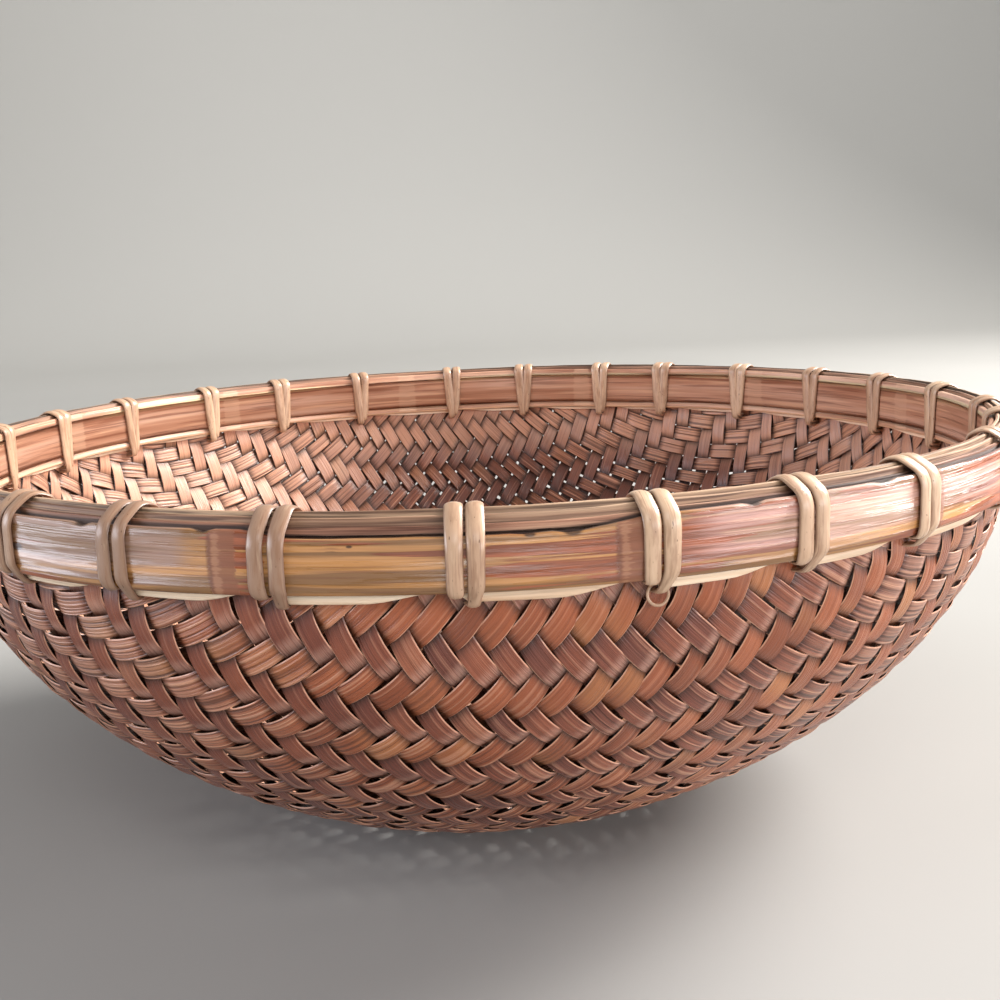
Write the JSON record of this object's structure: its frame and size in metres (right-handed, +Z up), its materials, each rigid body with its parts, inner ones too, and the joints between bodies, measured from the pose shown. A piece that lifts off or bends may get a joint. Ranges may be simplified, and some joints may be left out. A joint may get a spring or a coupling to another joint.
{
  "type": "bamboo basket",
  "caption": "Round, deep bowl basket of twill-woven bamboo splints with a flat base and a rim of split-bamboo hoops lashed with cane, open at the top to hold fruit or bread.",
  "frame": {"origin": "centre of the flat base, on the surface that the basket stands on", "axes": "+Z up along the basket's axis; -Y is the front of the picture, +X its right"},
  "size_m": [0.4228, 0.4235, 0.1532],
  "materials": {
    "weave": "flat bamboo splints, smoked reddish brown, satin",
    "outer_hoop": "split bamboo, skin side out, straw and red-brown streaks, glossy",
    "inner_hoop": "split bamboo, red-brown with a pale streak, satin",
    "fillers": "thin bamboo strips on edge, grey-tan, matt",
    "lower_strips": "pale cane strip, satin",
    "cane": "flat-oval peeled cane, pale straw, satin"
  },
  "bodies": {
    "root": {"woven_bowl": "weave", "outer_hoop": "outer_hoop", "inner_hoop": "inner_hoop", "rim_filler_1": "fillers", "rim_filler_2": "fillers", "rim_filler_3": "fillers", "rim_filler_4": "fillers", "outer_lower_strip": "lower_strips", "inner_lower_strip": "lower_strips", "lashing_01": "cane", "lashing_02": "cane", "lashing_03": "cane", "lashing_04": "cane", "lashing_05": "cane", "lashing_06": "cane", "lashing_07": "cane", "lashing_08": "cane", "lashing_09": "cane", "lashing_10": "cane", "lashing_11": "cane", "lashing_12": "cane", "lashing_13": "cane", "lashing_14": "cane", "lashing_15": "cane", "lashing_16": "cane", "lashing_17": "cane", "lashing_18": "cane", "lashing_19": "cane", "lashing_20": "cane", "lashing_21": "cane", "lashing_22": "cane", "lashing_23": "cane", "lashing_24": "cane", "lashing_25": "cane", "lashing_26": "cane", "lashing_27": "cane"}
  },
  "joints": []
}
